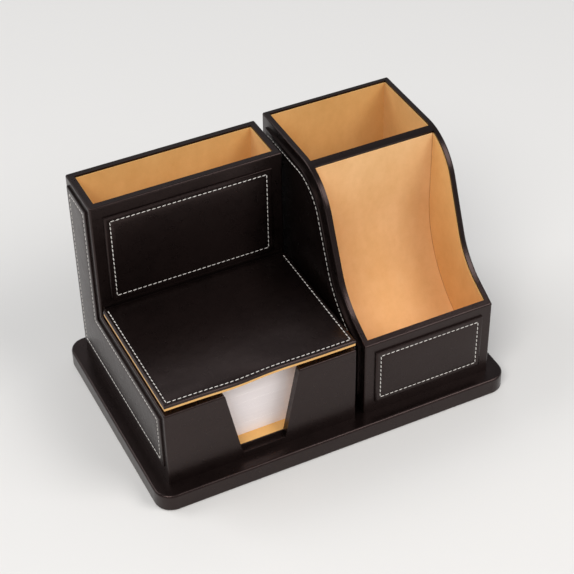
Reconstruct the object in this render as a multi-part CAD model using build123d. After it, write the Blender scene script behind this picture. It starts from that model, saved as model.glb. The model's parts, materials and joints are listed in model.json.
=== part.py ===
from build123d import *
import os

# A leatherette desk organiser, in millimetres. The origin is the middle of the underside,
# +X runs along the front to the right, +Y to the back, +Z up. Two boxes stand on one base:
# a memo box with a letter slot behind it, and a pen box with a curved phone rest in front.

# sheet and board thicknesses
cover_thickness = 0.8
lining_thickness = 1.4
rim_drop = 1.2
floor_board = 2.6
edge_radius = 1.1

# base
base_height = 11.0
base_margin = 9.0
base_corner_radius = 10.0
base_edge_radius = 1.4
felt_thickness = 0.8
felt_inset = 1.6

# both boxes
unit_depth = 124.5
unit_gap = 5.0

# memo box and letter slot
memo_width = 113.0
memo_board = 2.4
memo_top_height = 125.0
memo_box_height = 50.5
memo_box_depth = 88.5
notch_top_width = 43.6
notch_bottom_width = 25.6
notch_sill = 4.3
notch_hem = 1.6
notch_lip_radius = 1.4
notch_foot_radius = 1.0
memo_floor_board = 5.6

# the play of the memo sheets in their well, which leaves 101.6 by 76.2 (4 by 3 inch) paper
sheet_side_clearance = 1.1
sheet_back_clearance = 1.2
sheet_front_gap = 5.9
sheet_lift = 3.2

# lid and its leather hinge
lid_lining = 1.6
lid_board = 1.1
lid_foam = 0.4
lid_side_inset = 0.6
lid_front_inset = 0.3
lid_corner_radius = 1.2
lid_rest_clearance = 0.3
hinge_fold_radius = 1.1
hinge_clearance = 0.4
hinge_side_inset = 2.0
hinge_rise = 0.7

# pen box
pen_width = 80.5
pen_board = 1.6
pen_top_height = 128.5
pen_front_height = 50.0
pen_divider_board = 1.4

# phone rest: a bent sheet between the divider and the front wall
phone_well_depth = 65.5
ramp_board = 1.4
ramp_radius = 70.0
ramp_shelf_height = 11.7
ramp_rib = 2.6
ramp_rib_inset = 14.0

# the swept side of the pen box
sweep_front_run = 26.6
sweep_front_rise = 13.9
sweep_steep_run = 27.1
sweep_top_radius = 33.0
sweep_knee_radius = 43.0

# stitched pads on the outside
pad_thickness = 1.6
pad_corner_radius = 1.2
side_pad_margin = 4.4
side_pad_foot = 10.5
tall_pad_side_margin = 7.2
tall_pad_top_margin = 7.6
tall_pad_lid_gap = 2.5
front_pad_side_margin = 6.5
front_pad_top_margin = 6.0
front_pad_foot = 7.5
sweep_pad_margin = 6.2

# worked out from the sizes above
base_width = 2 * base_margin + memo_width + unit_gap + pen_width
base_depth = 2 * base_margin + unit_depth
memo_rim = 2 * cover_thickness + memo_board
memo_wall = cover_thickness + memo_board + lining_thickness
pen_rim = 2 * cover_thickness + pen_board
pen_wall = cover_thickness + pen_board + lining_thickness
floor_top = floor_board + lining_thickness
memo_floor_top = memo_floor_board + lining_thickness
memo_left = -base_width / 2 + base_margin
pen_left = memo_left + memo_width + unit_gap
front_y = -base_depth / 2 + base_margin
slot_front = memo_box_depth + memo_wall
slot_rim_front = memo_box_depth + memo_rim
memo_well_back = memo_box_depth + cover_thickness - lining_thickness
sheet_top = memo_box_height + sheet_lift
lid_bottom = sheet_top + lid_rest_clearance
lid_thickness = lid_lining + lid_board + lid_foam + cover_thickness
lid_top = lid_bottom + lid_thickness
hinge_y = memo_box_depth - pad_thickness - hinge_clearance - hinge_fold_radius
hinge_z = lid_top - hinge_fold_radius
ramp_back = phone_well_depth + lining_thickness + ramp_board
divider_back = ramp_back + pen_divider_board
pen_well_front = divider_back + lining_thickness
pen_rim_front = divider_back + cover_thickness
below = 20.0
above = 200.0


def block(x0, x1, y0, y1, z0, z1):
    """A box between two corners."""
    return Pos((x0 + x1) / 2, (y0 + y1) / 2, (z0 + z1) / 2) * Box(x1 - x0, y1 - y0, z1 - z0)


def along_x(outline, x0, x1):
    """A solid whose side view is the outline, its first axis to the back and its second up."""
    plane = Plane(origin=(x0, 0, 0), x_dir=(0, 1, 0), z_dir=(1, 0, 0))
    return extrude(plane * outline, amount=x1 - x0)


def along_y(outline, y0, y1):
    """A solid whose front view is the outline, its first axis to the right and its second up."""
    plane = Plane(origin=(0, y0, 0), x_dir=(1, 0, 0), z_dir=(0, -1, 0))
    return extrude(plane * outline, amount=y0 - y1)


def outline_of(*corners):
    """A flat face with straight sides through its corners."""
    return make_face(Polyline(*corners, close=True))


def rounded_at(outline, corner, radius):
    """The outline with the corner nearest to a point rounded off."""
    vertex = outline.vertices().sort_by_distance(Vector(corner[0], corner[1], 0))[0]
    return fillet(vertex, radius)


def pad_block(outline, plane_of, start, end):
    """A stitched pad: its outline with small round corners, carried from start to end."""
    drawn_in = offset(outline, amount=-pad_corner_radius, kind=Kind.INTERSECTION)
    return plane_of(offset(drawn_in, amount=pad_corner_radius, kind=Kind.ARC), start, end)


def round_outside(solid, radius):
    """The solid with every outer edge softened except those it stands on."""
    edges = [edge for edge in solid.edges() if edge.center().Z > 0.01]
    return fillet(edges, radius)


def memo_outline(inset):
    """Side view of the memo box: low in front, tall behind, drawn in by the inset."""
    low = memo_box_height - inset
    high = memo_top_height - inset
    front = inset
    tall_front = memo_box_depth + inset
    back = unit_depth - inset
    return outline_of((front, 0), (back, 0), (back, high), (tall_front, high), (tall_front, low),
                      (front, low))


def pen_outline(inset):
    """Side view of the pen box with its swept front, drawn in by the inset."""
    knee = (sweep_front_run, pen_front_height + sweep_front_rise)
    shoulder = (sweep_front_run + sweep_steep_run, pen_top_height)
    face = outline_of((0, -below), (unit_depth, -below), (unit_depth, pen_top_height),
                      shoulder, knee, (0, pen_front_height))
    face = rounded_at(face, shoulder, sweep_top_radius)
    face = rounded_at(face, knee, sweep_knee_radius)
    if inset:
        face = offset(face, amount=-inset, kind=Kind.INTERSECTION)
    ground = Pos(unit_depth / 2, above / 2) * Rectangle(2 * unit_depth, above)
    return face & ground


def ramp_outline(inset):
    """Side view of the phone well above the rest; a positive inset goes into the rest."""
    back = phone_well_depth + inset
    shelf = ramp_shelf_height - inset
    face = outline_of((-unit_depth, shelf), (back, shelf), (back, above), (-unit_depth, above))
    face = rounded_at(face, (back, shelf), ramp_radius + inset)
    front = pen_wall - lining_thickness
    return face & (Pos(front + unit_depth / 2, 0) * Rectangle(unit_depth, 2 * above))


def notch_outline(inset):
    """Front view of the notch in the memo box; a positive inset goes into the wall."""
    centre = memo_width / 2
    slope = (notch_top_width - notch_bottom_width) / 2 / (memo_box_height - notch_sill)
    low = notch_sill - inset
    high = memo_box_height - inset
    foot = notch_bottom_width / 2 + inset - slope * inset
    head = notch_top_width / 2 + inset - slope * inset
    side = memo_width / 2 - memo_wall
    face = outline_of((centre - foot, low), (centre + foot, low), (centre + head, high),
                      (centre + side, high), (centre + side, above), (centre - side, above),
                      (centre - side, high), (centre - head, high))
    for lip in (centre - head, centre + head):
        face = rounded_at(face, (lip, high), notch_lip_radius)
    for corner in (centre - foot, centre + foot):
        face = rounded_at(face, (corner, low), notch_foot_radius)
    return face


def make_base():
    """The base: a covered board with round corners on a felt sheet."""
    body = extrude(RectangleRounded(base_width, base_depth, base_corner_radius),
                   amount=base_height - felt_thickness)
    body = fillet(body.faces().sort_by(Axis.Z)[-1].edges(), base_edge_radius)
    body = Pos(0, 0, felt_thickness) * body
    board_face = RectangleRounded(base_width - 2 * cover_thickness, base_depth - 2 * cover_thickness,
                                  base_corner_radius - cover_thickness)
    board = Pos(0, 0, felt_thickness) * extrude(
        board_face, amount=base_height - felt_thickness - cover_thickness)
    felt = extrude(RectangleRounded(base_width - 2 * felt_inset, base_depth - 2 * felt_inset,
                                    base_corner_radius - felt_inset), amount=felt_thickness)
    return {"base_board": board, "base_cover": body - board, "base_felt": felt}


def make_memo_box():
    """The low memo box and the tall letter slot behind it."""
    w = memo_width
    rim = memo_rim
    wall = memo_wall
    board_side = cover_thickness + memo_board
    inner_left = board_side
    inner_right = w - board_side
    across = (inner_left, inner_right)
    divider_start = memo_box_depth + cover_thickness
    divider_end = divider_start + memo_board
    back_start = unit_depth - board_side
    low_top = memo_box_height - cover_thickness
    high_top = memo_top_height - cover_thickness
    low_hem = memo_box_height - rim_drop
    high_hem = memo_top_height - rim_drop

    zone = along_x(memo_outline(cover_thickness), cover_thickness, w - cover_thickness)
    outside = round_outside(along_x(memo_outline(0), 0, w), edge_radius)
    notch = along_y(notch_outline(0), -1, wall + 1)
    wrapped_notch = along_y(notch_outline(cover_thickness), -1, board_side)
    notch_lap = along_y(notch_outline(notch_hem), board_side, wall + 1)
    slot_mouth = block(rim, w - rim, slot_rim_front, unit_depth - rim, 0, above)
    well_mouth = block(rim, w - rim, rim, memo_box_depth, 0, above)
    slot = block(wall, w - wall, slot_front, unit_depth - wall, floor_top, above)
    well = block(wall, w - wall, wall, memo_well_back, memo_floor_top, above)

    # the leather turned down inside each well, round the notch and over its sill
    slot_hem = block(*across, divider_end, back_start, high_hem, high_top)
    well_hem = block(*across, board_side, divider_start, low_hem, low_top)
    foot = notch_bottom_width / 2 + notch_hem
    sill_hem = block(w / 2 - foot, w / 2 + foot, board_side, rim, 0, memo_floor_top)
    notch_hems = sill_hem + (notch_lap & block(*across, board_side, rim, 0, low_hem))
    hems = slot_hem + well_hem + notch_hems

    cover = outside - (zone - wrapped_notch - hems) - slot_mouth - well_mouth - notch
    cover = cover + sill_hem

    left_strip = block(-1, rim, -1, unit_depth + 1, -1, above)
    right_strip = block(w - rim, w + 1, -1, unit_depth + 1, -1, above)
    front_strip = block(rim, w - rim, -1, rim, -1, above)
    tall_strip = block(rim, w - rim, rim, slot_rim_front, -1, above)
    back_strip = block(rim, w - rim, slot_rim_front, unit_depth + 1, -1, above)

    nodes = {
        "memo_left_cover": cover & left_strip,
        "memo_right_cover": cover & right_strip,
        "memo_front_cover": cover & front_strip,
        "memo_tall_front_cover": cover & tall_strip,
        "memo_back_cover": cover & back_strip,
        "memo_left_board": zone & block(cover_thickness, inner_left, 0, unit_depth, 0, above),
        "memo_right_board": zone & block(inner_right, w - cover_thickness, 0, unit_depth, 0, above),
        "memo_back_board": block(*across, back_start, unit_depth - cover_thickness, 0, high_top),
        "memo_divider_board": block(*across, divider_start, divider_end, 0, high_top),
        "memo_front_board": block(*across, cover_thickness, board_side, 0, low_top)
        - wrapped_notch,
        "memo_floor_board": block(*across, board_side, divider_start, 0, memo_floor_board)
        - notch_hems,
        "slot_floor_board": block(*across, divider_end, back_start, 0, floor_board),
    }

    slot_shell = block(*across, divider_end, back_start, floor_top, high_hem)
    well_shell = block(*across, board_side, divider_start, memo_floor_top, low_hem)
    nodes["slot_lining"] = slot_shell - slot
    nodes["slot_floor_lining"] = block(*across, divider_end, back_start, floor_board, floor_top)
    nodes["memo_well_lining"] = well_shell - well - notch_lap
    nodes["memo_floor_lining"] = block(*across, board_side, divider_start, memo_floor_board,
                                       memo_floor_top) - notch_hems

    pad_side = memo_outline(side_pad_margin) & (
        Pos(unit_depth / 2, side_pad_foot + above / 2) * Rectangle(2 * unit_depth, above))
    nodes["memo_left_pad"] = pad_block(pad_side, along_x, -pad_thickness, 0)
    nodes["memo_right_pad"] = pad_block(pad_side, along_x, w, w + pad_thickness)
    tall_pad = outline_of(
        (tall_pad_side_margin, lid_top + tall_pad_lid_gap),
        (w - tall_pad_side_margin, lid_top + tall_pad_lid_gap),
        (w - tall_pad_side_margin, memo_top_height - tall_pad_top_margin),
        (tall_pad_side_margin, memo_top_height - tall_pad_top_margin))
    nodes["memo_tall_front_pad"] = pad_block(tall_pad, along_y, memo_box_depth - pad_thickness,
                                             memo_box_depth)
    return place(nodes, memo_left)


def make_memo_sheets():
    """The stack of loose sheets, pushed to the back of the memo box."""
    side = memo_wall + sheet_side_clearance
    stack = block(side, memo_width - side, memo_wall + sheet_front_gap,
                  memo_well_back - sheet_back_clearance, memo_floor_top, sheet_top)
    return place({"memo_sheets": stack}, memo_left)


def make_lid():
    """The padded lid, lying on the sheets, and the leather hinge behind it."""
    left = lid_side_inset
    right = memo_width - lid_side_inset
    front = lid_front_inset
    lining_top = lid_bottom + lid_lining
    board_top = lining_top + lid_board
    foam_top = board_top + lid_foam

    body = block(left, right, front, hinge_y, lining_top, lid_top)
    upright = body.edges().filter_by(Axis.Z).filter_by_position(Axis.Y, front - 0.1, front + 0.1)
    body = fillet(upright, lid_corner_radius)
    rim = [edge for edge in body.faces().sort_by(Axis.Z)[-1].edges()
           if edge.center().Y < hinge_y - 0.01]
    body = fillet(rim, cover_thickness)
    inside_left = left + cover_thickness
    inside_right = right - cover_thickness
    inside_front = front + cover_thickness
    board = block(inside_left, inside_right, inside_front, hinge_y, lining_top, board_top)
    foam = block(inside_left, inside_right, inside_front, hinge_y, board_top, foam_top)
    lining = block(left, right, front, hinge_y, lid_bottom, lining_top)
    corners = lining.edges().filter_by(Axis.Z).filter_by_position(Axis.Y, front - 0.1, front + 0.1)
    lining = fillet(corners, lid_corner_radius)

    fold = Pos(memo_width / 2, hinge_y, hinge_z) * Rot(0, 90, 0) * Cylinder(
        hinge_fold_radius, memo_width - 2 * hinge_side_inset)
    fold = fold & block(0, memo_width, hinge_y, unit_depth, 0, above)
    leaf = block(hinge_side_inset, memo_width - hinge_side_inset, memo_box_depth - pad_thickness,
                 memo_box_depth, lid_bottom, lid_top + hinge_rise)
    nodes = {
        "lid_cover": body - board - foam,
        "lid_board": board,
        "lid_foam": foam,
        "lid_lining": lining,
        "lid_hinge_fold": fold,
        "hinge_leaf": leaf,
    }
    return place(nodes, memo_left)


def make_pen_box():
    """The pen well and the phone well with its curved rest."""
    w = pen_width
    rim = pen_rim
    wall = pen_wall
    board_side = cover_thickness + pen_board
    inner_left = board_side
    inner_right = w - board_side
    across = (inner_left, inner_right)
    back_start = unit_depth - board_side
    rest_rim = phone_well_depth + lining_thickness - cover_thickness

    zone = along_x(pen_outline(cover_thickness), cover_thickness, w - cover_thickness)
    lined_zone = along_x(pen_outline(rim_drop), cover_thickness, w - cover_thickness)
    outside = round_outside(along_x(pen_outline(0), 0, w), edge_radius)
    pen_mouth = block(rim, w - rim, pen_rim_front, unit_depth - rim, 0, above)
    phone_mouth = block(rim, w - rim, rim, rest_rim, 0, above)
    pen_well = block(wall, w - wall, pen_well_front, unit_depth - wall, floor_top, above)

    # the leather turned down inside each well
    pen_hem = (zone - lined_zone) & block(*across, divider_back, back_start, 0, above)
    phone_hem = (zone - lined_zone) & block(*across, board_side,
                                            phone_well_depth + lining_thickness, 0, above)
    cover = outside - (zone - pen_hem - phone_hem) - pen_mouth - phone_mouth

    left_strip = block(-1, rim, -1, unit_depth + 1, -1, above)
    right_strip = block(w - rim, w + 1, -1, unit_depth + 1, -1, above)
    front_strip = block(rim, w - rim, -1, rim, -1, above)
    divider_strip = block(rim, w - rim, rim, pen_rim_front, -1, above)
    back_strip = block(rim, w - rim, pen_rim_front, unit_depth + 1, -1, above)

    lined_well = along_x(ramp_outline(lining_thickness), *across)
    ramp_solid = along_x(ramp_outline(lining_thickness + ramp_board), *across)
    behind_front = block(*across, board_side, ramp_back, 0, above)

    nodes = {
        "pen_left_cover": cover & left_strip,
        "pen_right_cover": cover & right_strip,
        "pen_front_cover": cover & front_strip,
        "pen_divider_cover": cover & divider_strip,
        "pen_back_cover": cover & back_strip,
        "pen_left_board": zone & block(cover_thickness, inner_left, 0, unit_depth, 0, above),
        "pen_right_board": zone & block(inner_right, w - cover_thickness, 0, unit_depth, 0, above),
        "pen_back_board": zone & block(*across, back_start, unit_depth, 0, above),
        "pen_divider_board": zone & block(*across, ramp_back, divider_back, 0, above),
        "pen_front_board": zone & block(*across, 0, board_side, 0, above),
        "pen_floor_board": block(*across, divider_back, back_start, 0, floor_board),
        "phone_floor_board": block(*across, board_side, ramp_back, 0, floor_board),
        "phone_ramp_board": (ramp_solid & zone & behind_front) - lined_well,
    }

    rib_zone = behind_front - ramp_solid - block(*across, 0, unit_depth, 0, floor_board)
    for side, start in (("left", ramp_rib_inset), ("right", w - ramp_rib_inset - ramp_rib)):
        nodes["phone_ramp_rib_" + side] = rib_zone & block(start, start + ramp_rib, 0, ramp_back,
                                                           0, above)

    pen_shell = lined_zone & block(*across, divider_back, back_start, floor_top, above)
    nodes["pen_well_lining"] = pen_shell - pen_well
    nodes["pen_floor_lining"] = block(*across, divider_back, back_start, floor_board, floor_top)
    ramp_skin = (lined_well & lined_zone & behind_front) - along_x(ramp_outline(0), *across)
    nodes["phone_ramp_lining"] = ramp_skin
    side_skin = along_x(ramp_outline(0) & pen_outline(rim_drop), 0, w) & behind_front
    nodes["phone_left_lining"] = side_skin & block(inner_left, wall, 0, unit_depth, 0, above)
    nodes["phone_right_lining"] = side_skin & block(w - wall, inner_right, 0, unit_depth, 0, above)
    nodes["phone_front_lining"] = side_skin & block(wall, w - wall, board_side, wall, 0, above)

    foot = Pos(unit_depth / 2, side_pad_foot + above / 2) * Rectangle(2 * unit_depth, above)
    sweep_pad = pen_outline(sweep_pad_margin) & foot
    nodes["pen_left_pad"] = pad_block(sweep_pad, along_x, -pad_thickness, 0)
    nodes["pen_right_pad"] = pad_block(sweep_pad, along_x, w, w + pad_thickness)
    front_pad = outline_of(
        (front_pad_side_margin, front_pad_foot),
        (w - front_pad_side_margin, front_pad_foot),
        (w - front_pad_side_margin, pen_front_height - front_pad_top_margin),
        (front_pad_side_margin, pen_front_height - front_pad_top_margin))
    nodes["pen_front_pad"] = pad_block(front_pad, along_y, -pad_thickness, 0)
    return place(nodes, pen_left)


def place(nodes, left):
    """The nodes of one box, moved to their place on the base."""
    return {name: Pos(left, front_y, base_height) * solid for name, solid in nodes.items()}


os.makedirs("parts", exist_ok=True)
pieces = {}
for made in (make_base(), make_memo_box(), make_memo_sheets(), make_lid(), make_pen_box()):
    pieces.update(made)
for name, solid in pieces.items():
    export_step(solid, "parts/" + name + ".step")
print(len(pieces), "pieces")
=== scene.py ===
import json
import math
import random
import bmesh
import bpy
from mathutils import Matrix, Vector


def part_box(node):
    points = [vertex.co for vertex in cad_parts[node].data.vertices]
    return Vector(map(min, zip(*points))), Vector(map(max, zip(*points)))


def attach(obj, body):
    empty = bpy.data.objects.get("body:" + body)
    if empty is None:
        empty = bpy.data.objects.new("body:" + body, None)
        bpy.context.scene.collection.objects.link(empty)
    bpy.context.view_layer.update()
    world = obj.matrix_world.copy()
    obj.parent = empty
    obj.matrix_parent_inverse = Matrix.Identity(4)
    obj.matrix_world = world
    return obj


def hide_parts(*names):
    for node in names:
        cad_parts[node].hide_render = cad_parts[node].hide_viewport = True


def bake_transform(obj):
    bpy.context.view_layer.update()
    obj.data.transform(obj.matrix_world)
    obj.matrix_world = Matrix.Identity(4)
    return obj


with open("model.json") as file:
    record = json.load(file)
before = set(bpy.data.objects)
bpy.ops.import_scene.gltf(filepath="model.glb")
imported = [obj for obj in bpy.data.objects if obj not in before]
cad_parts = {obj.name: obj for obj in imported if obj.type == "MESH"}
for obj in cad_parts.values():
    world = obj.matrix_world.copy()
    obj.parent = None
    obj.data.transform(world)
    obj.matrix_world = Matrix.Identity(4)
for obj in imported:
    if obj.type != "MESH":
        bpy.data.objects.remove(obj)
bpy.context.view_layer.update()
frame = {"nodes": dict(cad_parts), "record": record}
nodes = frame["nodes"]
mm = 0.001
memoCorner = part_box("memo_left_cover")[0]    # front left foot of the memo box
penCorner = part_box("pen_left_cover")[0]      # front left foot of the pen box
print("frame loaded,", len(nodes), "nodes")


class Wire:
    # one socket of a node tree, so that a sum on it adds the nodes for that sum
    def __init__(self, tree, socket=None):
        self.tree = tree
        self.socket = socket

    def add(self, kind, settings=None, inputs=None, output=0):
        node = self.tree.nodes.new(kind)
        for name, value in (settings or {}).items():
            setattr(node, name, value)
        for name, value in (inputs or {}).items():
            if isinstance(value, Wire):
                self.tree.links.new(value.socket, node.inputs[name])
            else:
                node.inputs[name].default_value = value
        return Wire(self.tree, node.outputs[output]) if node.outputs else None

    def sum(self, operation, *values):
        return self.add("ShaderNodeMath", {"operation": operation}, dict(enumerate(values)))

    def __add__(self, other):
        return self.sum("ADD", self, other)

    def __radd__(self, other):
        return self.sum("ADD", other, self)

    def __sub__(self, other):
        return self.sum("SUBTRACT", self, other)

    def __mul__(self, other):
        return self.sum("MULTIPLY", self, other)

    def __rmul__(self, other):
        return self.sum("MULTIPLY", other, self)


def noise(wire, coords, size, detail=2.0, roughness=0.5, stretch=None):
    # soft noise whose patches are about size millimetres across
    if stretch:
        coords = wire.add("ShaderNodeMapping", None, {"Vector": coords, "Scale": stretch})
    return wire.add("ShaderNodeTexNoise", None, {
        "Vector": coords, "Scale": 1 / (size * mm), "Detail": detail, "Roughness": roughness})


def mixColour(wire, amount, first, second):
    return wire.add("ShaderNodeMix", {"data_type": "RGBA"}, {0: amount, 6: first, 7: second}, 2)


def spread(wire, value, low, high):
    # value from low to high becomes 0 to 1
    return wire.add("ShaderNodeMapRange", None, {
        "Value": value, "From Min": low, "From Max": high, "To Min": 0.0, "To Max": 1.0})


def twoTone(wire, value, low, high, finish):
    # value from low to high goes from the dark to the light of a finish
    return mixColour(wire, spread(wire, value, low, high), finish["dark"], finish["light"])


def relief(wire, height, strength, depth, under=None):
    # bump that is depth millimetres at its full height, over another bump if one is given
    inputs = {"Height": height, "Strength": strength, "Distance": depth * mm}
    if under:
        inputs["Normal"] = under
    return wire.add("ShaderNodeBump", None, inputs)


def finishMaterial(name, build):
    material = bpy.data.materials.new(name)
    material.use_nodes = True
    material.node_tree.nodes.clear()
    wire = Wire(material.node_tree)
    coords = wire.add("ShaderNodeTexCoord", output="Object")
    shader = wire.add("ShaderNodeBsdfPrincipled", None, build(wire, coords))
    wire.add("ShaderNodeOutputMaterial", None, {"Surface": shader})
    return material


leather = {
    "dark": (0.0022, 0.0014, 0.0013, 1), "light": (0.0050, 0.0030, 0.0027, 1),
    "gloss": (1.0, 0.69, 0.65, 1), "specular": 0.42, "ior": 1.48,
    "roughness": 0.27, "roughnessPlay": 0.10, "coat": 0.06, "coatRoughness": 0.24,
    # millimetres
    "grain": 0.85, "pore": 0.35, "crease": 4.5, "buckle": 30.0,
    "grainDepth": 0.16, "buckleDepth": 0.9,
}


def buildLeather(wire, coords):
    patches = noise(wire, coords, leather["buckle"], 3.0, 0.55)
    creases = noise(wire, coords, leather["crease"], 4.0, 0.6)
    cells = wire.add("ShaderNodeTexVoronoi", {"feature": "SMOOTH_F1"}, {
        "Vector": coords, "Scale": 1 / (leather["grain"] * mm), "Smoothness": 0.35})
    pores = noise(wire, coords, leather["pore"], 2.0, 0.6)
    buckles = relief(wire, patches, 0.5, leather["buckleDepth"])
    grain = relief(wire, cells * 0.55 + pores * 0.2 + creases * 0.5, 0.22,
                   leather["grainDepth"], buckles)
    rough = leather["roughness"] + leather["roughnessPlay"] * (creases + cells * 0.5 - 0.5)
    return {"Base Color": twoTone(wire, patches * 0.6 + creases * 0.4, 0.3, 0.7, leather),
            "Roughness": rough, "Normal": grain,
            "Specular IOR Level": leather["specular"], "Specular Tint": leather["gloss"],
            "Coat Weight": leather["coat"], "Coat Roughness": leather["coatRoughness"],
            "IOR": leather["ior"]}


suede = {
    "dark": (0.678, 0.362, 0.108, 1), "light": (0.84, 0.502, 0.188, 1),
    "roughness": 0.86, "roughnessPlay": 0.08, "specular": 0.2,
    "sheen": 0.25, "sheenRoughness": 0.45, "sheenTint": (1.0, 0.86, 0.7, 1),
    # millimetres
    "nap": 0.45, "blotch": 5.0, "brush": 22.0, "napDepth": 0.12,
}


def buildSuede(wire, coords, tones=suede):
    brushed = noise(wire, coords, suede["brush"], 5.0, 0.62, (1.0, 0.8, 0.45))
    blotches = noise(wire, coords, suede["blotch"], 3.0, 0.6)
    fibres = noise(wire, coords, suede["nap"], 3.0, 0.7)
    mottle = brushed * 0.62 + blotches * 0.2 + fibres * 0.18
    return {"Base Color": twoTone(wire, mottle, 0.3, 0.7, tones),
            "Roughness": suede["roughness"] + suede["roughnessPlay"] * (fibres - 0.5),
            "Normal": relief(wire, fibres + blotches * 0.4, 0.35, suede["napDepth"]),
            "Sheen Weight": suede["sheen"], "Sheen Roughness": suede["sheenRoughness"],
            "Sheen Tint": suede["sheenTint"], "Specular IOR Level": suede["specular"]}


restPaintedLightAndShade = {
    # the rest's dark and light are the suede painted paler, as painted light from above
    "dark": (0.705, 0.388, 0.150, 1), "light": (0.875, 0.537, 0.258, 1),
    # a painted crease shade along the side linings
    "creaseShade": (0.42, 0.19, 0.06, 1),
    "creaseShadeFrom": 0.55, "creaseShadeTo": 0.1,     # millimetres from the side linings
}


def buildRestWithPaintedLight(wire, coords):
    # the curved rest is the same suede painted paler, as painted light, with a painted crease
    # shade where it meets the side linings
    look = buildSuede(wire, coords, restPaintedLightAndShade)
    left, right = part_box("phone_left_lining")[1].x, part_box("phone_right_lining")[0].x
    reach = (right - left) / 2
    across = wire.add("ShaderNodeSeparateXYZ", None, {"Vector": coords})
    offside = wire.sum("ABSOLUTE", across - (left + right) / 2)
    # painted crease shade: the suede turns darker within these millimetres of the side linings
    creaseShade = spread(wire, offside, reach - restPaintedLightAndShade["creaseShadeFrom"] * mm, reach - restPaintedLightAndShade["creaseShadeTo"] * mm)
    look["Base Color"] = mixColour(wire, creaseShade, look["Base Color"], restPaintedLightAndShade["creaseShade"])
    return look


paper = {
    "dark": (0.88, 0.815, 0.815, 1), "light": (0.94, 0.88, 0.88, 1),
    "roughness": 0.72, "specular": 0.3,
    # millimetres
    "sheet": 0.35, "bundle": 3.0, "depth": 0.06,
}


def buildPaper(wire, coords):
    edges = noise(wire, coords, paper["sheet"], 2.0, 0.7, (0.02, 0.02, 1.0))
    bundles = noise(wire, coords, paper["bundle"], 2.0, 0.6, (0.03, 0.03, 1.0))
    return {"Base Color": twoTone(wire, edges * 0.55 + bundles * 0.45, 0.28, 0.62, paper),
            "Roughness": paper["roughness"] + 0.1 * edges,
            "Normal": relief(wire, edges + bundles, 0.2, paper["depth"]),
            "Specular IOR Level": paper["specular"]}


thread = {
    "dark": (0.50, 0.46, 0.42, 1), "light": (0.80, 0.77, 0.73, 1),
    "roughness": 0.6, "sheen": 0.2,
    # millimetres
    "ply": 0.3, "wear": 9.0, "depth": 0.1,
}


def buildThread(wire, coords):
    plies = noise(wire, coords, thread["ply"], 2.0, 0.6)
    wear = noise(wire, coords, thread["wear"], 2.0, 0.5)
    return {"Base Color": twoTone(wire, plies * 0.6 + wear * 0.4, 0.3, 0.62, thread),
            "Roughness": thread["roughness"] + 0.15 * plies,
            "Normal": relief(wire, plies, 0.5, thread["depth"]),
            "Sheen Weight": thread["sheen"]}


board = {
    "dark": (0.27, 0.18, 0.11, 1), "light": (0.46, 0.34, 0.22, 1), "roughness": 0.75,
    # millimetres
    "fibre": 1.4, "depth": 0.1,
}


def buildBoard(wire, coords):
    fibres = noise(wire, coords, board["fibre"], 5.0, 0.7, (0.5, 0.5, 1.6))
    return {"Base Color": twoTone(wire, fibres, 0.3, 0.7, board),
            "Roughness": board["roughness"] + 0.15 * fibres,
            "Normal": relief(wire, fibres, 0.3, board["depth"])}


felt = {
    "dark": (0.018, 0.016, 0.016, 1), "light": (0.05, 0.045, 0.044, 1),
    "roughness": 0.9, "sheen": 0.3,
    # millimetres
    "fibre": 0.9, "tuft": 6.0, "depth": 0.3,
}


def buildFelt(wire, coords):
    fibres = noise(wire, coords, felt["fibre"], 6.0, 0.75)
    tufts = noise(wire, coords, felt["tuft"], 3.0, 0.6)
    return {"Base Color": twoTone(wire, fibres * 0.7 + tufts * 0.3, 0.3, 0.7, felt),
            "Roughness": felt["roughness"] + 0.08 * fibres,
            "Normal": relief(wire, fibres, 0.6, felt["depth"]),
            "Sheen Weight": felt["sheen"]}


foam = {
    "dark": (0.5, 0.47, 0.4, 1), "light": (0.72, 0.7, 0.63, 1), "roughness": 0.8,
    # millimetres
    "bubble": 0.625, "depth": 0.15,
}


def buildFoam(wire, coords):
    bubbles = wire.add("ShaderNodeTexVoronoi", None, {
        "Vector": coords, "Scale": 1 / (foam["bubble"] * mm)})
    colour = mixColour(wire, spread(wire, bubbles, 0.1, 0.7), foam["light"], foam["dark"])
    return {"Base Color": colour, "Roughness": foam["roughness"] + 0.1 * bubbles,
            "Normal": relief(wire, bubbles, 0.5, foam["depth"])}


leatherFinish = finishMaterial("espressoLeatherette", buildLeather)
suedeFinish = finishMaterial("tanSuede", buildSuede)
# the rest's suede carries painted light and a painted crease shade
restPaintedLightFinish = finishMaterial("tanSuedeRestPaintedLight", buildRestWithPaintedLight)
paperFinish = finishMaterial("memoPaper", buildPaper)
threadFinish = finishMaterial("offWhiteThread", buildThread)
boardFinish = finishMaterial("fibreboard", buildBoard)
feltFinish = finishMaterial("darkFelt", buildFelt)
foamFinish = finishMaterial("thinFoam", buildFoam)
print("materials made")

finishes = {
    "leatherette": leatherFinish, "stitched_leatherette": leatherFinish,
    "suede_lining": suedeFinish, "board": boardFinish, "felt": feltFinish,
    "foam": foamFinish, "paper": paperFinish,
}
ownFinish = {"phone_ramp_lining": restPaintedLightFinish}
slotOf = {part["node"]: part["material_slot"] for part in frame["record"]["subparts"]}
for name, node in nodes.items():
    node.data.materials.clear()
    node.data.materials.append(ownFinish.get(name, finishes[slotOf[name]]))
print("frame nodes dressed")


def linkPiece(name, bm, material):
    mesh = bpy.data.meshes.new(name)
    bm.to_mesh(mesh)
    bm.free()
    mesh.materials.append(material)
    piece = bpy.data.objects.new(name, mesh)
    bpy.context.scene.collection.objects.link(piece)
    return piece


weldBelow = 0.002     # millimetres


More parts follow.
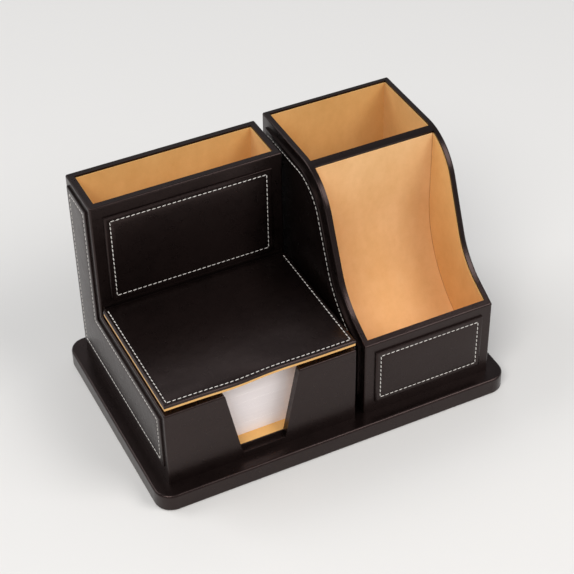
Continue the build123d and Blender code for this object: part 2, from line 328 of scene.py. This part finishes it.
def makePiece(name, bm, material, body, smoothBelow=35.0):
    bmesh.ops.remove_doubles(bm, verts=bm.verts[:], dist=weldBelow * mm)
    bmesh.ops.recalc_face_normals(bm, faces=bm.faces[:])
    piece = linkPiece(name, bm, material)
    for face in piece.data.polygons:
        face.use_smooth = True
    piece.data.set_sharp_from_angle(angle=math.radians(smoothBelow))
    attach(piece, body)
    return piece


# the drawing planes of the flat sides: across, up and out
sides = {
    "left": ((0, 1, 0), (0, 0, 1), (-1, 0, 0)),
    "right": ((0, 1, 0), (0, 0, 1), (1, 0, 0)),
    "front": ((1, 0, 0), (0, 0, 1), (0, -1, 0)),
    "top": ((1, 0, 0), (0, 1, 0), (0, 0, 1)),
}


def drawingPlane(side, corner):
    # millimetres on a side, from a corner of its box, to metres in the frame
    axes = Matrix(sides[side]).transposed().to_4x4()
    return Matrix.Translation(corner) @ axes @ Matrix.Scale(mm, 4)


def drawn(node, plane):
    # a node's box on a drawing plane, in millimetres: near, low, far and high
    ends = [plane.inverted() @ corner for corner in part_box(node)]
    near, far = sorted(end.x for end in ends)
    low, high = sorted(end.y for end in ends)
    return near, low, far, high


memoLeft = drawingPlane("left", memoCorner)
memoRight = drawingPlane("right", (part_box("memo_right_cover")[1].x, memoCorner.y, memoCorner.z))
memoTallFront = drawingPlane(
    "front", (memoCorner.x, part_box("memo_tall_front_cover")[0].y, memoCorner.z))
memoTop = drawingPlane("top", memoCorner)
penLeft = drawingPlane("left", penCorner)
penRight = drawingPlane("right", (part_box("pen_right_cover")[1].x, penCorner.y, penCorner.z))
penFront = drawingPlane("front", penCorner)


def everything(bm):
    return bm.verts[:] + bm.edges[:] + bm.faces[:]


def outlineFace(bm, corners):
    return bm.faces.new([bm.verts.new((across, up, 0)) for across, up in corners])


def rectangle(near, low, far, high):
    return [(near, low), (far, low), (far, high), (near, high)]


def raiseFace(bm, face, height):
    raised = bmesh.ops.extrude_face_region(bm, geom=[face])["geom"]
    bmesh.ops.translate(bm, verts=[v for v in raised if isinstance(v, bmesh.types.BMVert)],
                        vec=(0, 0, height))
    return next(f for f in raised if isinstance(f, bmesh.types.BMFace))


def padRings(bm, face, edge, rings):
    # the face rises by edge, then each ring goes inwards and up; returns the stitching line
    face = raiseFace(bm, face, edge)
    line = []
    for inwards, up, stitched in rings:
        bmesh.ops.inset_region(bm, faces=[face], thickness=inwards, depth=up,
                               use_even_offset=True)
        if stitched:
            line = [v.co.copy() for v in face.verts]
    return line


stitch = {
    # millimetres
    "pitch": 2.95, "length": 2.4, "width": 0.6, "height": 0.46, "lift": 0.05,
    # degrees; a new run of stitches starts where the line turns by more than the corner
    "slant": 5.0, "slantPlay": 2.0, "corner": 25.0,
    "shortest": 0.95, "longest": 1.04,     # shares of the length
    "around": 8, "rings": 5, "smoothBelow": 80.0,
}


def stitchRuns(line, closed):
    count = len(line)
    turns = []
    for i in range(count):
        before = line[i] - line[i - 1]
        after = line[(i + 1) % count] - line[i]
        ends = not closed and i in (0, count - 1)
        if ends or before.angle(after, 0) > math.radians(stitch["corner"]):
            turns.append(i)
    runs = []
    for k, start in enumerate(turns):
        last = k == len(turns) - 1
        if last and not closed:
            break
        end = turns[0] + count if last else turns[k + 1]
        runs.append([line[i % count] for i in range(start, end + 1)])
    return runs


def sewStitches(name, line, plane, body, seed, closed=True):
    dice = random.Random(seed)
    bm = bmesh.new()
    for run in stitchRuns(line, closed):
        lengths = [(b - a).length for a, b in zip(run, run[1:])]
        total = sum(lengths)
        count = max(1, round(total / stitch["pitch"]))
        for k in range(count):
            along = (k + 0.5) * total / count
            i = 0
            while along > lengths[i] and i < len(lengths) - 1:
                along -= lengths[i]
                i += 1
            way = (run[i + 1] - run[i]).normalized()
            place = run[i] + way * along + Vector((0, 0, stitch["lift"]))
            slant = stitch["slant"] + dice.uniform(-stitch["slantPlay"], stitch["slantPlay"])
            turn = math.atan2(way.y, way.x) + math.radians(slant)
            length = stitch["length"] * dice.uniform(stitch["shortest"], stitch["longest"])
            size = (length / 2, stitch["width"] / 2, stitch["height"] / 2, 1)
            shape = (Matrix.Translation(place) @ Matrix.Rotation(turn, 4, "Z")
                     @ Matrix.Diagonal(size) @ Matrix.Rotation(math.pi / 2, 4, "Y"))
            bmesh.ops.create_uvsphere(bm, u_segments=stitch["around"],
                                      v_segments=stitch["rings"], radius=1, matrix=shape)
    bmesh.ops.transform(bm, matrix=plane, verts=bm.verts[:])
    makePiece(name, bm, threadFinish, body, stitch["smoothBelow"])


pad = {
    "edge": 0.95, "fill": 0.35, "flatRise": 0.02,
    # rings: how far inwards, how far up, and whether the stitching runs there
    "rim": [(0.3, 0.26, False), (0.3, 0.14, False), (0.3, 0.04, False)],
    "groove": [(0.5, -0.12, False), (0.4, -0.1, True)],
    "crown": [(0.4, 0.1, False), (0.6, 0.14, False), (1.6, 0.12, False), (3.0, 0.1, False),
              (4.0, 0.05, False)],
}


def stitchedPad(name, outline, plane, stitchInset, replaced, seed):
    # a rounded rim, a flat, the sewn groove, then the soft crown
    bm = bmesh.new()
    face = outline(bm) if callable(outline) else outlineFace(bm, outline)
    flat = stitchInset - sum(ring[0] for ring in pad["rim"] + pad["groove"])
    rings = pad["rim"] + [(flat, pad["flatRise"], False)] + pad["groove"] + pad["crown"]
    line = padRings(bm, face, pad["edge"], rings)
    bmesh.ops.transform(bm, matrix=plane, verts=bm.verts[:])
    piece = makePiece(name, bm, leatherFinish, "organizer")
    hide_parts(replaced)
    sewStitches(name + "Stitches", line, plane, "organizer", seed)


memoPads = {"sideStitch": 3.3, "tallStitch": 3.1}     # millimetres from the pad's edge


def stepOutline():
    # the L of the memo box's side, as far from its step as from its front
    near, low, far, high = drawn("memo_left_pad", memoLeft)
    stepAt = drawn("memo_tall_front_cover", memoLeft)[0] + near
    stepHigh = drawn("memo_front_cover", memoLeft)[3] - near
    return [(near, low), (far, low), (far, high), (stepAt, high), (stepAt, stepHigh),
            (near, stepHigh)]


stitchedPad("memoLeftPad", stepOutline(), memoLeft, memoPads["sideStitch"],
            "memo_left_pad", seed=3)
stitchedPad("memoRightPad", stepOutline(), memoRight, memoPads["sideStitch"],
            "memo_right_pad", seed=4)
stitchedPad("memoTallFrontPad", rectangle(*drawn("memo_tall_front_pad", memoTallFront)),
            memoTallFront, memoPads["tallStitch"], "memo_tall_front_pad", seed=5)
print("memo box pads made")

penPads = {
    # millimetres; the S is drawn with sharp bends, which are then rounded
    "shoulderAt": 53.7, "shoulderTangent": 21.9, "knee": (26.6, 63.9), "kneeTangent": 15.5,
    "lip": 50.0, "below": 20.0, "segments": 14,
    "sideStitch": 3.2, "frontStitch": 3.0,
}


def sweptOutline(bm):
    # side view of the pen box, drawn in by the pad's margin and cut off at its foot
    low = -penPads["below"]
    depth, high = drawn("pen_left_cover", penLeft)[2:]
    margin, foot = drawn("pen_left_pad", penLeft)[:2]
    face = outlineFace(bm, [(0, low), (depth, low), (depth, high), (penPads["shoulderAt"], high),
                            penPads["knee"], (0, penPads["lip"])])
    shoulder, knee = list(face.verts)[3:5]
    for bend, tangent in ((shoulder, "shoulderTangent"), (knee, "kneeTangent")):
        bmesh.ops.bevel(bm, geom=[bend], offset=penPads[tangent], offset_type="OFFSET",
                        segments=penPads["segments"], profile=0.5, affect="VERTICES",
                        material=-1)
    face = bm.faces[:][0]
    border = bmesh.ops.inset_region(bm, faces=[face], thickness=margin,
                                    use_even_offset=True, use_boundary=True)["faces"]
    bmesh.ops.delete(bm, geom=border, context="FACES")
    bmesh.ops.bisect_plane(bm, geom=everything(bm), plane_co=(0, foot, 0),
                           plane_no=(0, 1, 0), clear_inner=True)
    return bm.faces[:][0]


stitchedPad("penLeftPad", sweptOutline, penLeft, penPads["sideStitch"],
            "pen_left_pad", seed=6)
stitchedPad("penRightPad", sweptOutline, penRight, penPads["sideStitch"],
            "pen_right_pad", seed=7)
stitchedPad("penFrontPad", rectangle(*drawn("pen_front_pad", penFront)), penFront,
            penPads["frontStitch"], "pen_front_pad", seed=8)
print("pen box pads made")

lidNear, lidFront, lidFar, lidBack = drawn("lid_cover", memoTop)
lidFoot = (memoTop.inverted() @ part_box("lid_cover")[0]).z
lid = {
    "edge": 1.4, "fill": 0.4,
    # rings: how far inwards, how far up, and whether the stitching runs there
    "rings": [(0.35, 0.36, False), (0.35, 0.16, False), (0.35, 0.04, False), (0.45, 0.0, False),
              (0.4, -0.1, False), (0.35, -0.08, True), (0.4, 0.08, False), (0.6, 0.12, False),
              (2.0, 0.16, False), (4.0, 0.12, False), (8.0, 0.06, False)],
    "overrun": 14.0,     # the rings run on behind the rear edge, where they are cut off
    "slices": 56, "rows": 5, "rowStep": 2.6,
    "stitchEnd": 1.2, "stitchSteps": 24, "stitchSeed": 9,
    # the buckle's height, its reach from the front edge, and radians each millimetre
    "wave": 0.14, "waveReach": 60.0, "waveTurn": 0.085, "waveStart": 2.2,
    "sag": 0.8, "sagAt": 42.0, "sagWidth": 14.0,
    "rise": 0.3, "riseAt": 64.0, "riseWidth": 12.0, "sagReach": 9.0,
}
lidLayers = [
    # name, inset, foot, thickness, node
    ("lidLining", 0.15, 54.0, 1.6, "lid_lining"),
    ("lidBoard", 0.95, 55.65, 1.0, "lid_board"),
    ("lidFoam", 0.95, 56.67, 0.3, "lid_foam"),
]


def swell(distance, width):
    return math.exp(-(distance / width) ** 2)


def waveAt(across, up):
    # the slight buckle of a hand wrapped lid, strongest along its front edge, which sags
    # where the notch leaves it without a wall below
    far = max(0.0, up - lidFront)
    fade = max(0.0, 1 - far / lid["waveReach"])
    wave = lid["wave"] * fade * math.sin(across * lid["waveTurn"] + lid["waveStart"])
    sag = lid["rise"] * swell(across - lid["riseAt"], lid["riseWidth"])
    sag -= lid["sag"] * swell(across - lid["sagAt"], lid["sagWidth"])
    return wave + sag * swell(far, lid["sagReach"])


def sliceLid(bm):
    # enough edges for the wave to bend, closer together towards the front
    step = (lidFar - lidNear) / lid["slices"]
    for k in range(1, lid["slices"]):
        bmesh.ops.bisect_plane(bm, geom=everything(bm), plane_no=(1, 0, 0),
                               plane_co=(lidNear + k * step, 0, 0))
    for k in range(1, lid["rows"] + 1):
        bmesh.ops.bisect_plane(bm, geom=everything(bm), plane_no=(0, 1, 0),
                               plane_co=(0, lidFront + k * k * lid["rowStep"], 0))


def settleLid(points, foot):
    for point in points:
        point.z += foot + waveAt(point.x, point.y)


def makeLidCover():
    bm = bmesh.new()
    face = outlineFace(bm, rectangle(lidNear, lidFront, lidFar, lidBack + lid["overrun"]))
    line = padRings(bm, face, lid["edge"], lid["rings"])
    bmesh.ops.bisect_plane(bm, geom=everything(bm), plane_co=(0, lidBack, 0),
                           plane_no=(0, 1, 0), clear_outer=True)
    bmesh.ops.holes_fill(bm, edges=[e for e in bm.edges if e.is_boundary], sides=0)
    sliceLid(bm)
    settleLid([v.co for v in bm.verts], lidFoot)
    bmesh.ops.transform(bm, matrix=memoTop, verts=bm.verts[:])
    cover = makePiece("lidCover", bm, leatherFinish, "memo_lid")
    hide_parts("lid_cover")
    return line


def sewLid(line):
    # down the left side, along the front and up the right side, short of the hinge
    left, right = sorted(sorted(line, key=lambda v: v.y)[:2], key=lambda v: v.x)
    rear = lidBack - lid["stitchEnd"]
    path = [Vector((left.x, rear, left.z)), left, right, Vector((right.x, rear, right.z))]
    steps = lid["stitchSteps"]
    fine = []
    for start, end in zip(path, path[1:]):
        fine += [start.lerp(end, k / steps) for k in range(steps)]
    fine.append(path[-1])
    settleLid(fine, lidFoot)
    sewStitches("lidCoverStitches", fine, memoTop, "memo_lid", lid["stitchSeed"], closed=False)


def makeLidLayer(name, inset, foot, thickness, replaced):
    bm = bmesh.new()
    face = outlineFace(bm, rectangle(lidNear + inset, lidFront + inset, lidFar - inset, lidBack))
    raiseFace(bm, face, thickness)
    sliceLid(bm)
    settleLid([v.co for v in bm.verts], foot)
    bmesh.ops.transform(bm, matrix=memoTop, verts=bm.verts[:])
    slotName = slotOf[replaced]
    layer = makePiece(name, bm, finishes[slotName], "memo_lid")
    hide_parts(replaced)


sewLid(makeLidCover())
for layer in lidLayers:
    makeLidLayer(*layer)
print("lid made")

sheets = {
    "bundles": 24, "seed": 11, "smoothBelow": 20.0,
    "slip": 0.05, "trim": 0.4,     # millimetres
    "twist": 0.02,                 # degrees
}


def makeSheets():
    low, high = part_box("memo_sheets")
    size = high - low
    middle = (low + high) / 2
    trim = sheets["trim"] * mm
    dice = random.Random(sheets["seed"])
    bm = bmesh.new()
    thick = size.z / sheets["bundles"]
    for k in range(sheets["bundles"]):
        slip = Vector((dice.uniform(-1, 1), dice.uniform(-0.2, 1), 0)) * sheets["slip"] * mm
        turn = math.radians(dice.uniform(-1, 1) * sheets["twist"])
        place = Vector((middle.x, middle.y, low.z + (k + 0.5) * thick)) + slip
        shape = (Matrix.Translation(place) @ Matrix.Rotation(turn, 4, "Z")
                 @ Matrix.Diagonal((size.x - trim, size.y - trim, thick, 1)))
        bmesh.ops.create_cube(bm, size=1, matrix=shape)
    stack = makePiece("memoSheets", bm, paperFinish, "organizer", sheets["smoothBelow"])
    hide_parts("memo_sheets")


makeSheets()
print("memo sheets stacked")

hinge = {
    # millimetres from the memo box's front left foot
    "start": 84.9, "end": 87.4, "low": 56.2, "high": 57.0, "side": 2.3,
    "wallLine": 87.0, "lidLine": 86.4,     # the lines on the wall and on the lid
    "bends": 8,
}


def makeHingeStrip():
    width = drawn("memo_right_cover", memoTop)[2]
    bm = bmesh.new()
    face = outlineFace(bm, rectangle(hinge["side"], hinge["start"], width - hinge["side"],
                                     hinge["end"]))
    raiseFace(bm, face, hinge["high"] - hinge["low"])
    for k in range(1, hinge["bends"]):
        y = hinge["start"] + k * (hinge["end"] - hinge["start"]) / hinge["bends"]
        bmesh.ops.bisect_plane(bm, geom=everything(bm), plane_no=(0, 1, 0), plane_co=(0, y, 0))
    bmesh.ops.translate(bm, verts=bm.verts[:], vec=(0, 0, hinge["low"]))
    bmesh.ops.transform(bm, matrix=memoTop, verts=bm.verts[:])
    bmesh.ops.recalc_face_normals(bm, faces=bm.faces[:])
    strip = linkPiece("lidHingeStrip", bm, leatherFinish)
    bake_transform(strip)


makeHingeStrip()
print("hinge strip made")

stage = {
    "floor": (0.80, 0.79, 0.775, 1), "floorShade": (0.74, 0.73, 0.715, 1),
    "floorSize": 9.0,                        # metres
    "floorDrop": 0.05, "mottle": 60.0,       # millimetres
    "world": (0.92, 0.95, 1.0, 1), "worldStrength": 0.34,
    "aim": (0, 0, 0.05),                     # where the lamps point, in metres
}
lamps = [
    # name, place, size, watts, colour
    ("keyLamp", (-1.1, -1.1, 1.85), 1.1, 26.0, (1.0, 0.98, 0.95)),
    ("fillLamp", (1.1, -1.2, 1.6), 1.2, 22.0, (1.0, 0.98, 0.96)),
    ("backLamp", (-1.25, 1.1, 1.5), 1.2, 13.0, (1.0, 1.0, 1.0)),
    ("sheenLamp", (0.35, 1.25, 1.8), 0.7, 1.3, (1.0, 1.0, 1.0)),
]


def buildFloor(wire, coords):
    mottle = noise(wire, coords, stage["mottle"], 3.0, 0.5)
    return {"Base Color": mixColour(wire, mottle * 0.06, stage["floor"], stage["floorShade"]),
            "Roughness": 0.85 + 0.05 * mottle, "Specular IOR Level": 0.2}


def layFloor():
    bm = bmesh.new()
    bmesh.ops.create_grid(bm, x_segments=2, y_segments=2, size=stage["floorSize"] / 2,
                          matrix=Matrix.Translation((0, 0, -stage["floorDrop"] * mm)))
    linkPiece("floor", bm, finishMaterial("paleFloor", buildFloor))


def lightStudio():
    world = bpy.data.worlds.new("studio")
    bpy.context.scene.world = world
    world.use_nodes = True
    world.node_tree.nodes.clear()
    wire = Wire(world.node_tree)
    sky = wire.add("ShaderNodeBackground", None, {"Color": stage["world"],
                                                  "Strength": stage["worldStrength"]})
    wire.add("ShaderNodeOutputWorld", None, {"Surface": sky})
    for name, place, size, watts, tint in lamps:
        lamp = bpy.data.lights.new(name, "AREA")
        lamp.shape = "SQUARE"
        lamp.size = size
        lamp.energy = watts
        lamp.color = tint
        holder = bpy.data.objects.new(name, lamp)
        holder.location = place
        aim = Vector(stage["aim"]) - Vector(place)
        holder.rotation_euler = aim.to_track_quat("-Z", "Y").to_euler()
        bpy.context.scene.collection.objects.link(holder)


camera = {
    "place": (-0.29934, -0.62800, 0.64656),     # metres
    "turn": (50.0938, 0.8187, -26.3565),        # degrees about X, Y and Z
    "focalPixels": 1616.1, "imagePixels": 574, "sensor": 36.0,
}


def placeCamera():
    view = bpy.data.cameras.new("camera")
    view.sensor_width = camera["sensor"]
    view.lens = camera["focalPixels"] * camera["sensor"] / camera["imagePixels"]
    view.clip_start = 0.01
    holder = bpy.data.objects.new("camera", view)
    holder.location = camera["place"]
    holder.rotation_euler = [math.radians(angle) for angle in camera["turn"]]
    bpy.context.scene.collection.objects.link(holder)
    bpy.context.scene.camera = holder


layFloor()
lightStudio()
placeCamera()
bpy.context.scene.view_settings.view_transform = "Standard"
print("stage, lamps and camera set")
